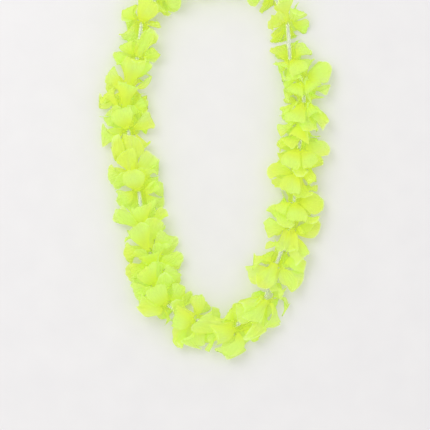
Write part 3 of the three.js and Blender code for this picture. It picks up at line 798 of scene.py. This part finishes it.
def thread_piece(material):
    """The thread, a closed loop through every bloom, and its knot."""
    ends = [
        middle_of(bloom) + axis_of(bloom) * step * THREAD_STRAIGHT
        for bloom in blooms
        for step in (-1, 1)
    ]
    line = []
    for k, point in enumerate(ends):
        after = ends[(k + 1) % len(ends)]
        line += [point + (after - point) * share for share in THREAD_STEPS]
    radius = THREAD_RADIUS * ROUND_SHARE
    points, faces = swept(line, radius, THREAD_SIDES)
    knot_points, knot_faces = swept(knot_line(), radius, KNOT_SIDES)
    start = len(points)
    faces = faces + [tuple(start + k for k in face) for face in knot_faces]
    object_from("thread_line", np.vstack([points, knot_points]), faces, material, "thread")


# ---- materials ----
class Nodes:
    """A material's node tree, with short calls to add and join nodes."""

    def __init__(self, name):
        self.material = bpy.data.materials.new(name)
        self.material.use_nodes = True
        self.tree = self.material.node_tree
        self.tree.nodes.clear()

    def add(self, kind, **values):
        """A node with its settings, or inputs, whose names have _ in place of a space."""
        node = self.tree.nodes.new(kind)
        for key, value in values.items():
            if hasattr(node, key):
                setattr(node, key, value)
            else:
                self.put(value, node.inputs[key.replace("_", " ")])
        return node

    def put(self, value, socket):
        if isinstance(value, bpy.types.NodeSocket):
            self.tree.links.new(value, socket)
        else:
            socket.default_value = value

    def place(self):
        return self.add("ShaderNodeTexCoord").outputs["Object"]

    def noise(self, scale, detail=2.0):
        """Numbers about a half that change smoothly from place to place."""
        node = self.add("ShaderNodeTexNoise", Vector=self.place(), Scale=scale, Detail=detail)
        return node.outputs["Fac"]

    def math(self, operation, *values):
        node = self.tree.nodes.new("ShaderNodeMath")
        node.operation = operation
        for value, socket in zip(values, node.inputs):
            self.put(value, socket)
        return node.outputs[0]

    def times(self, first, *others):
        for other in others:
            first = self.math("MULTIPLY", first, other)
        return first

    def range(self, value, low, high, out_low, out_high):
        node = self.tree.nodes.new("ShaderNodeMapRange")
        node.interpolation_type = "SMOOTHSTEP"
        for item, socket in zip((value, low, high, out_low, out_high), node.inputs):
            self.put(item, socket)
        return node.outputs[0]

    def mix(self, share, a, b):
        node = self.tree.nodes.new("ShaderNodeMix")
        node.data_type = "RGBA"
        self.put(share, node.inputs["Factor"])
        self.put(a, node.inputs["A"])
        self.put(b, node.inputs["B"])
        return node.outputs["Result"]

    def blend(self, share, a, b):
        """Two shaders as one."""
        node = self.add("ShaderNodeMixShader")
        for value, socket in zip((share, a.outputs[0], b.outputs[0]), node.inputs):
            self.put(value, socket)
        return node

    def finished(self, shader):
        """The material, with this shader as its surface."""
        out = self.add("ShaderNodeOutputMaterial")
        self.put(shader.outputs[0], out.inputs[0])
        return self.material


def rgb(red, green, blue):
    """An sRGB colour from 0 to 255 as a linear one."""
    def linear(c):
        c = c / 255
        return c / 12.92 if c <= 0.04045 else ((c + 0.055) / 1.055) ** 2.4
    return (linear(red), linear(green), linear(blue), 1.0)


NEON = rgb(204, 231, 148)
NEON_PAINTED_SHADE = rgb(212, 222, 46)  # painted shade: the deeper colour at a petal's root, inside the bloom, and along its fine ribs
NEON_WARM = rgb(226, 225, 44)  # in patches
NEON_PALE = rgb(243, 255, 208)  # at a petal's cut edge: partly the cut edge's own paler colour, partly painted light shining through the thin edge
NEON_THROUGH = rgb(214, 232, 116)  # of the light that comes through
NEON_PAINTED_GLOW = rgb(211, 231, 96)
PAINTED_GLOW = 0.5  # how strongly the cloth glows: painted light that stands in for the dye's fluorescence and softens its shade
ROOT_SHADE_FADE = (0.1, 0.62)  # shares of the length between which the painted shade at the root fades
PATCH_SCALE = 26.0
PATCHES = (0.42, 0.66)  # numbers of the noise between which a patch grows
WARMEST = 0.45
EDGE_WIDTH = 0.05  # of the pale edge, as a share of the length
EDGE_PALE = 0.55
EDGE_PALE_THROUGH = 0.6
FINE_RIBS = 15  # waves across a petal
FINE_RIBS_FROM = (0.22, 0.6)
FINE_RIB_SHADE = 0.25
FINE_RIB_WANDER = 1.6  # radians
WANDER_SCALE = 60.0
WEAVE_ACROSS = 160  # half waves across a petal
WEAVE_ALONG = 220  # half waves along it
WRINKLE_SCALE = 240.0
WRINKLE_DETAIL = 4.0
RELIEF = {"ribs": 0.5, "weave": 0.08, "wrinkles": 0.25}  # shares of the relief's height
RELIEF_HEIGHT = 0.0005  # metres
RELIEF_STRENGTH = 0.22
CLOTH_ROUGH = (0.5, 0.68)
ROUGHENING = (0.3, 0.7)  # numbers of the wrinkles' noise between which it grows rougher
THROUGH = 0.5  # share of the light that passes through the threads of the cloth
VEIL = 0.14  # share that passes between them, which is twice as much at the edge
TUBE_COLOURS = rgb(255, 255, 252), rgb(244, 250, 240)
TUBE_LINES = 900.0  # scale of its faint lines
TUBE_ROUGHENING = (0.2, 0.8)
TUBE_ROUGH = (0.1, 0.22)
THREAD_COLOURS = rgb(240, 246, 214), rgb(252, 253, 244)
THREAD_TWIST = 400.0  # scale of its twist
SMALL_RELIEF = 0.0001  # metres, of the tube's lines and the thread's twist
FLOOR_COLOURS = rgb(226, 225, 226), rgb(232, 231, 231)
FLOOR_GRAIN = 30.0


def cloth_relief(n, u, v, ribs, outer, wrinkles):
    """Fine ribs, the weave and small wrinkles, as a bumped direction off the cloth."""
    rib_height = n.times(ribs, outer, RELIEF["ribs"])
    weave_u = n.math("SINE", n.times(u, WEAVE_ACROSS * math.pi))
    weave_v = n.math("SINE", n.times(v, WEAVE_ALONG * math.pi))
    weave = n.times(weave_u, weave_v, RELIEF["weave"])
    height = n.math("ADD", n.math("ADD", rib_height, weave), n.times(wrinkles, RELIEF["wrinkles"]))
    bump = n.add("ShaderNodeBump", Strength=RELIEF_STRENGTH, Distance=RELIEF_HEIGHT, Height=height)
    return bump.outputs[0]


def edge_nearness(n, across, v):
    """1 at a petal's cut edge, 0 a little further in."""
    inside = n.math("SUBTRACT", 1.0, n.times(across, across))
    rim = n.math("SQRT", n.math("MAXIMUM", inside, 0.0))
    edge = n.math("MULTIPLY_ADD", rim, 1 - WIDEST, WIDEST)
    return n.range(n.math("SUBTRACT", edge, v), 0.0, EDGE_WIDTH, 1.0, 0.0)


def cloth_colours(n, v, ribs, outer, near_edge):
    """The cloth's colour, with painted shade at the root and along the fine ribs and a paler edge that
    is partly painted light, and that of the light through it.
    """
    warmth = n.range(n.noise(PATCH_SCALE), *PATCHES, 0.0, WARMEST)
    # painted shade along the fine ribs, following the same wave as their bump
    shade = n.times(n.range(ribs, -1.0, 1.0, 0.0, 1.0), outer, FINE_RIB_SHADE)
    # painted shade: the colour deepens towards the root, inside the bloom
    colour = n.mix(n.range(v, *ROOT_SHADE_FADE, 0.0, 1.0), NEON_PAINTED_SHADE, NEON)
    colour = n.mix(warmth, colour, NEON_WARM)
    colour = n.mix(shade, colour, NEON_PAINTED_SHADE)
    # partly painted light: the thin cut edge painted paler, as if lit through, on top of its own paler
    # colour
    colour = n.mix(n.times(near_edge, EDGE_PALE), colour, NEON_PALE)
    through = n.mix(warmth, NEON_THROUGH, NEON_WARM)
    through = n.mix(n.times(near_edge, EDGE_PALE_THROUGH), through, NEON_PALE)
    return colour, through


def cloth_material():
    """Thin woven neon polyester with pressed ribs, a paler cut edge that is partly painted light,
    painted shade at the roots and along the ribs, and a painted glow.
    """
    n = Nodes("neon_cloth")
    uv = n.add("ShaderNodeUVMap", uv_map="cloth").outputs[0]
    parts = n.add("ShaderNodeSeparateXYZ", Vector=uv)
    u, v = parts.outputs[0], parts.outputs[1]
    across = n.math("MULTIPLY_ADD", u, 2.0, -1.0)
    wander = n.times(n.noise(WANDER_SCALE), FINE_RIB_WANDER)
    ribs = n.math("SINE", n.math("MULTIPLY_ADD", across, FINE_RIBS * math.pi, wander))
    outer = n.range(v, *FINE_RIBS_FROM, 0.0, 1.0)
    wrinkles = n.noise(WRINKLE_SCALE, WRINKLE_DETAIL)
    near_edge = edge_nearness(n, across, v)
    colour, through = cloth_colours(n, v, ribs, outer, near_edge)

    shell = n.add(
        "ShaderNodeBsdfPrincipled",
        Base_Color=colour,
        Roughness=n.range(wrinkles, *ROUGHENING, *CLOTH_ROUGH),
        Normal=cloth_relief(n, u, v, ribs, outer, wrinkles),
        Specular_IOR_Level=0.35,
        Sheen_Weight=0.15,
        # painted glow, standing in for the dye's fluorescence
        Emission_Color=NEON_PAINTED_GLOW,
        Emission_Strength=PAINTED_GLOW,
    )
    behind = n.add("ShaderNodeBsdfTranslucent", Color=through)
    threads = n.blend(THROUGH, shell, behind)
    between = n.add("ShaderNodeBsdfTransparent", Color=NEON_PALE)
    open_share = n.math("MULTIPLY_ADD", near_edge, VEIL, VEIL)
    return n.finished(n.blend(open_share, threads, between))


def tube_material():
    """Clear soft plastic with faint drawing lines."""
    n = Nodes("clear_tube")
    lines = n.noise(TUBE_LINES)
    bump = n.add("ShaderNodeBump", Strength=0.2, Distance=SMALL_RELIEF, Height=lines)
    return n.finished(n.add(
        "ShaderNodeBsdfPrincipled",
        Base_Color=n.mix(lines, *TUBE_COLOURS),
        Roughness=n.range(lines, *TUBE_ROUGHENING, *TUBE_ROUGH),
        Normal=bump.outputs[0],
        IOR=1.3,
        Transmission_Weight=0.7,
    ))


def thread_material():
    """Pale twisted polyester thread."""
    n = Nodes("pale_thread")
    wave = n.add("ShaderNodeTexWave", Vector=n.place(), Scale=THREAD_TWIST, Distortion=2.0)
    twist = wave.outputs["Fac"]
    bump = n.add("ShaderNodeBump", Strength=0.3, Distance=SMALL_RELIEF, Height=twist)
    return n.finished(n.add(
        "ShaderNodeBsdfPrincipled",
        Base_Color=n.mix(twist, *THREAD_COLOURS),
        Roughness=0.8,
        Normal=bump.outputs[0],
    ))


def floor_material():
    """A pale matt surface, very slightly mottled."""
    n = Nodes("pale_floor")
    return n.finished(n.add(
        "ShaderNodeBsdfPrincipled",
        Base_Color=n.mix(n.noise(FLOOR_GRAIN), *FLOOR_COLOURS),
        Roughness=0.9,
        Specular_IOR_Level=0.1,
    ))


# ---- floor, light and camera, in metres ----
FLOOR_HALF = 3.0
WORLD_COLOUR = rgb(252, 251, 251)
WORLD_STRENGTH = 0.97
KEY_POWER = 11.0
KEY_PLACE = (-0.9, 0.9, 1.7)
KEY_SIZE = 1.2
CAMERA_HEIGHT = 3.0  # above the string
CAMERA_SIGHT = 20
FRAME_WIDTH = 0.4515  # of the photo's frame at the string's height
SENSOR = 36.0  # millimetres


def floor():
    """The surface that the lei lies on."""
    mesh = bpy.data.meshes.new("floor")
    corners = [(x * FLOOR_HALF, y * FLOOR_HALF, 0) for x, y in ((-1, -1), (1, -1), (1, 1), (-1, 1))]
    mesh.from_pydata(corners, [], [(0, 1, 2, 3)])
    mesh.materials.append(floor_material())
    piece = bpy.data.objects.new("floor", mesh)
    bpy.context.scene.collection.objects.link(piece)


def lights():
    """An even pale surround, and a large soft light from the upper left, aimed at the origin."""
    world = bpy.data.worlds.new("studio")
    world.use_nodes = True
    back = world.node_tree.nodes["Background"]
    back.inputs[0].default_value = WORLD_COLOUR
    back.inputs[1].default_value = WORLD_STRENGTH
    bpy.context.scene.world = world
    bpy.context.scene.view_settings.view_transform = "Standard"
    light = bpy.data.lights.new("key", "AREA")
    light.energy = KEY_POWER
    light.size = KEY_SIZE
    key = bpy.data.objects.new("key", light)
    key.location = KEY_PLACE
    key.rotation_euler = (-Vector(KEY_PLACE)).to_track_quat("-Z", "Y").to_euler()
    bpy.context.scene.collection.objects.link(key)


def camera():
    """Straight above the lei, with the photo's frame."""
    data = bpy.data.cameras.new("camera")
    data.sensor_width = SENSOR
    data.lens = SENSOR * CAMERA_HEIGHT / FRAME_WIDTH
    data.clip_end = CAMERA_SIGHT
    data.dof.use_dof = False
    piece = bpy.data.objects.new("camera", data)
    piece.location = (OFFSET[0], OFFSET[1], CAMERA_HEIGHT + STRING_HEIGHT / METRE)
    bpy.context.scene.collection.objects.link(piece)
    bpy.context.scene.camera = piece


camera()
lights()
floor()
cloth = cloth_material()
thread_piece(thread_material())
clear = tube_material()
for bloom in blooms:
    bloom_pieces(bloom, cloth)
    if bloom.index + 1 != KNOT_AFTER:
        tube_piece(bloom, clear)
